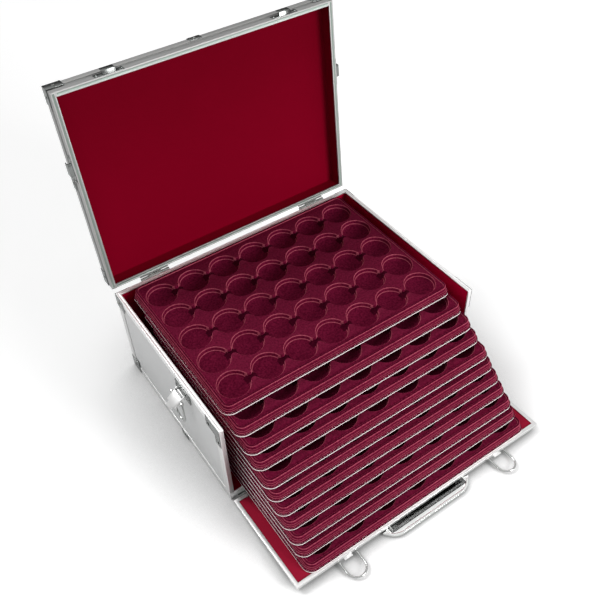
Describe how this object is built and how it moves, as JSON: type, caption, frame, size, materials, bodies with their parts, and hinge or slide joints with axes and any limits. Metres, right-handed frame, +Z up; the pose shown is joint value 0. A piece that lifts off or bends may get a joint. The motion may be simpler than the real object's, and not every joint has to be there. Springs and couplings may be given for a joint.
{
  "type": "coin case",
  "caption": "Aluminium-edged case with a rear-hinged lid, a front flap, sliding coin trays, a carrying handle and draw latches.",
  "frame": {"origin": "centre of the body's base, on the surface that the case stands on", "axes": "+X along the hinges to the right seen from the front, -Y to the front where the trays come out, +Z up"},
  "size_m": [0.4462, 0.5308, 0.4481],
  "materials": {
    "panel": "satin aluminium sheet on board",
    "profile": "satin anodised",
    "chrome": "bright chrome",
    "steel": "nickel plated",
    "velvet": "crimson velvet",
    "flock": "wine red flocked sheet",
    "black_plastic": "matte"
  },
  "bodies": {
    "case_body": {"side_board_left": "panel", "side_board_right": "panel", "back_board": "panel", "bottom_board": "panel", "side_linings": "velvet", "back_lining": "velvet", "bottom_pad": "velvet", "rim_profiles": "profile", "base_profiles": "profile", "front_end_profiles": "profile", "rear_corner_profiles": "profile", "body_corner_brackets": "chrome", "body_edge_clips": "chrome", "body_rivets": "steel", "back_hinge_body_leaves": "steel", "back_hinge_pins": "steel", "flap_hinge_body_leaf": "steel", "flap_hinge_pin": "steel", "side_latch_base_left": "chrome", "side_latch_base_right": "chrome"},
    "lid": {"lid_top_board": "panel", "lid_side_boards": "panel", "lid_lining": "velvet", "lid_rim_profiles": "profile", "lid_edge_profiles": "profile", "lid_corner_brackets": "chrome", "lid_edge_clips": "chrome", "lid_rivets": "steel", "back_hinge_lid_leaves": "steel", "lid_front_catches": "chrome", "lid_side_catches": "chrome"},
    "flap": {"flap_board": "panel", "flap_lining": "velvet", "flap_frame": "profile", "flap_hinge_flap_leaf": "steel", "front_latch_bases": "chrome", "handle_mounts": "chrome"},
    "handle": {"handle_grip": "chrome", "handle_pad": "black_plastic"},
    "front_lever_left": {"front_latch_lever_left": "chrome"},
    "front_loop_left": {"front_latch_loop_left": "chrome"},
    "front_lever_right": {"front_latch_lever_right": "chrome"},
    "front_loop_right": {"front_latch_loop_right": "chrome"},
    "side_lever_left": {"side_latch_lever_left": "chrome"},
    "side_loop_left": {"side_latch_loop_left": "chrome"},
    "side_lever_right": {"side_latch_lever_right": "chrome"},
    "side_loop_right": {"side_latch_loop_right": "chrome"},
    "tray_01_drawer": {"tray_01": "flock"},
    "tray_02_drawer": {"tray_02": "flock"},
    "tray_03_drawer": {"tray_03": "flock"},
    "tray_04_drawer": {"tray_04": "flock"},
    "tray_05_drawer": {"tray_05": "flock"},
    "tray_06_drawer": {"tray_06": "flock"},
    "tray_07_drawer": {"tray_07": "flock"},
    "tray_08_drawer": {"tray_08": "flock"},
    "tray_09_drawer": {"tray_09": "flock"},
    "tray_10_drawer": {"tray_10": "flock"},
    "tray_11_drawer": {"tray_11": "flock"}
  },
  "joints": [
    {"name": "lid_hinge", "type": "hinge", "parent": "case_body", "child": "lid", "pos_m": [0, 0.1475, 0.147], "axis": [1, 0, 0], "range_deg": [0, 95.2]},
    {"name": "flap_hinge", "type": "hinge", "parent": "case_body", "child": "flap", "pos_m": [0, -0.1485, 0.0025], "axis": [-1, 0, 0], "range_deg": [-92, 0]},
    {"name": "handle_swing", "type": "hinge", "parent": "flap", "child": "handle", "pos_m": [0, -0.27708, 0.00249], "axis": [1, 0, 0], "range_deg": [0, 180]},
    {"name": "front_lever_left_turn", "type": "hinge", "parent": "flap", "child": "front_lever_left", "pos_m": [-0.125, -0.27407, 0.00268], "axis": [1, 0, 0], "range_deg": [0, 180]},
    {"name": "front_loop_left_swing", "type": "hinge", "parent": "front_lever_left", "child": "front_loop_left", "pos_m": [-0.125, -0.28207, 0.00296], "axis": [1, 0, 0], "range_deg": [0, 180]},
    {"name": "front_lever_right_turn", "type": "hinge", "parent": "flap", "child": "front_lever_right", "pos_m": [0.125, -0.27407, 0.00268], "axis": [1, 0, 0], "range_deg": [0, 180]},
    {"name": "front_loop_right_swing", "type": "hinge", "parent": "front_lever_right", "child": "front_loop_right", "pos_m": [0.125, -0.28207, 0.00296], "axis": [1, 0, 0], "range_deg": [0, 180]},
    {"name": "side_lever_left_turn", "type": "hinge", "parent": "case_body", "child": "side_lever_left", "pos_m": [-0.2032, -0.048, 0.128], "axis": [0, -1, 0], "range_deg": [-130, 0]},
    {"name": "side_loop_left_swing", "type": "hinge", "parent": "side_lever_left", "child": "side_loop_left", "pos_m": [-0.20933, -0.048, 0.12286], "axis": [0, 1, 0], "range_deg": [0, 180]},
    {"name": "side_lever_right_turn", "type": "hinge", "parent": "case_body", "child": "side_lever_right", "pos_m": [0.2032, -0.048, 0.128], "axis": [0, 1, 0], "range_deg": [-130, 0]},
    {"name": "side_loop_right_swing", "type": "hinge", "parent": "side_lever_right", "child": "side_loop_right", "pos_m": [0.20933, -0.048, 0.12286], "axis": [0, -1, 0], "range_deg": [0, 180]},
    {"name": "tray_01_slide", "type": "slide", "parent": "case_body", "child": "tray_01_drawer", "axis": [0, 1, 0], "range_m": [-0.17, 0]},
    {"name": "tray_02_slide", "type": "slide", "parent": "case_body", "child": "tray_02_drawer", "axis": [0, 1, 0], "range_m": [-0.1423, 0.0277]},
    {"name": "tray_03_slide", "type": "slide", "parent": "case_body", "child": "tray_03_drawer", "axis": [0, 1, 0], "range_m": [-0.1209, 0.0491]},
    {"name": "tray_04_slide", "type": "slide", "parent": "case_body", "child": "tray_04_drawer", "axis": [0, 1, 0], "range_m": [-0.1047, 0.0653]},
    {"name": "tray_05_slide", "type": "slide", "parent": "case_body", "child": "tray_05_drawer", "axis": [0, 1, 0], "range_m": [-0.0843, 0.0857]},
    {"name": "tray_06_slide", "type": "slide", "parent": "case_body", "child": "tray_06_drawer", "axis": [0, 1, 0], "range_m": [-0.0724, 0.0976]},
    {"name": "tray_07_slide", "type": "slide", "parent": "case_body", "child": "tray_07_drawer", "axis": [0, 1, 0], "range_m": [-0.0582, 0.1118]},
    {"name": "tray_08_slide", "type": "slide", "parent": "case_body", "child": "tray_08_drawer", "axis": [0, 1, 0], "range_m": [-0.0447, 0.1253]},
    {"name": "tray_09_slide", "type": "slide", "parent": "case_body", "child": "tray_09_drawer", "axis": [0, 1, 0], "range_m": [-0.0294, 0.1406]},
    {"name": "tray_10_slide", "type": "slide", "parent": "case_body", "child": "tray_10_drawer", "axis": [0, 1, 0], "range_m": [-0.0188, 0.1512]},
    {"name": "tray_11_slide", "type": "slide", "parent": "case_body", "child": "tray_11_drawer", "axis": [0, 1, 0], "range_m": [-0.0028, 0.1672]}
  ]
}
